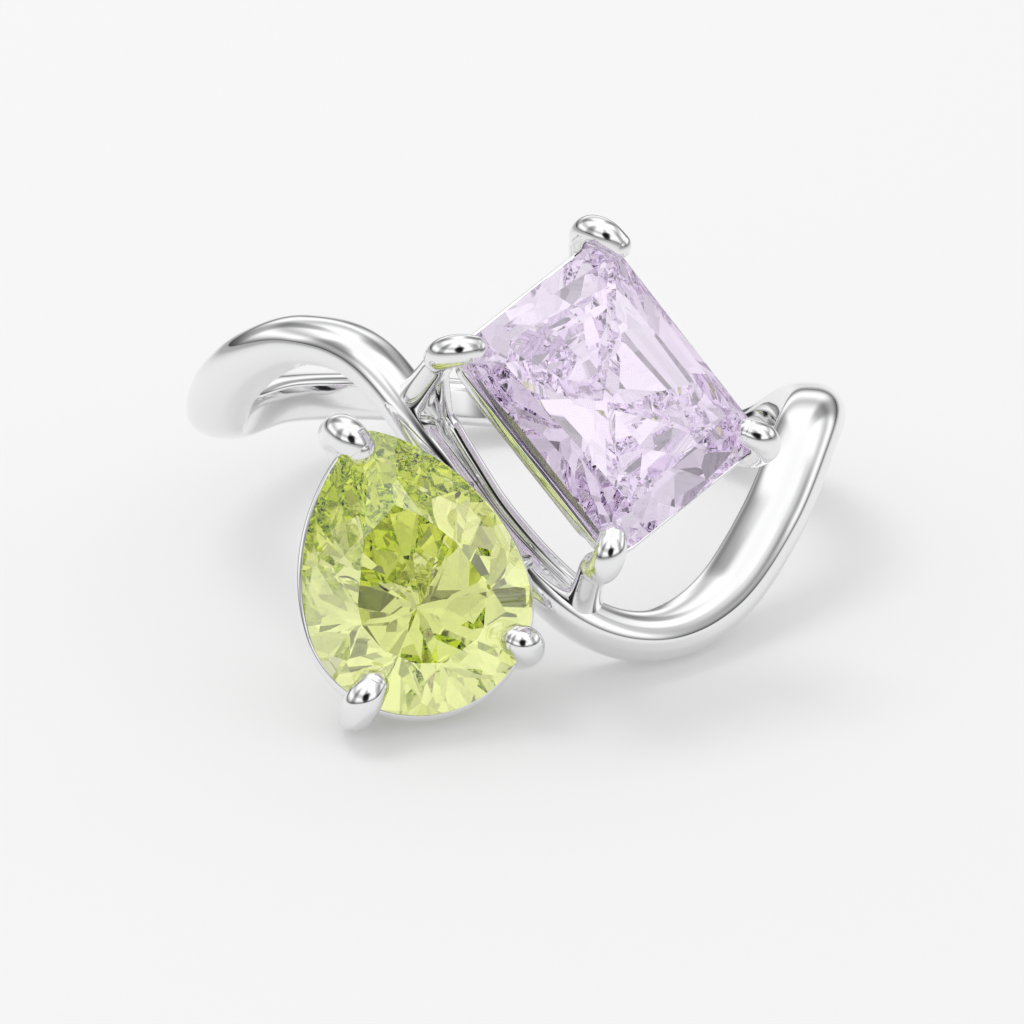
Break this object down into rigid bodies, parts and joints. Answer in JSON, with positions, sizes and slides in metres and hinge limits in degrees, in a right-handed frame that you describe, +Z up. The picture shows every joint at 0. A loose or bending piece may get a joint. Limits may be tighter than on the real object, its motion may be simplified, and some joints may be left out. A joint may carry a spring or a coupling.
{
  "type": "toi et moi ring",
  "caption": "Polished white metal finger ring whose band sweeps in a wave between a pear-cut yellow-green stone and a lilac radiant-cut stone, each held in claws.",
  "frame": {"origin": "on the axis of the finger hole, level with the back of the band", "axes": "+Z up as the ring lies on its side by itself, on the back of the band, the trough of its wave and the pear's outer low claw; -Y towards the stones; +X to the right seen from the stones' side, towards the radiant stone's limb"},
  "size_m": [0.0208, 0.0255, 0.0142],
  "materials": {
    "white_metal": "mirror polished",
    "yellow_green_stone": "clear, faceted",
    "lilac_stone": "clear, faceted"
  },
  "bodies": {
    "root": {"band_and_settings": "white_metal", "pear_stone": "yellow_green_stone", "radiant_stone": "lilac_stone"}
  },
  "joints": []
}
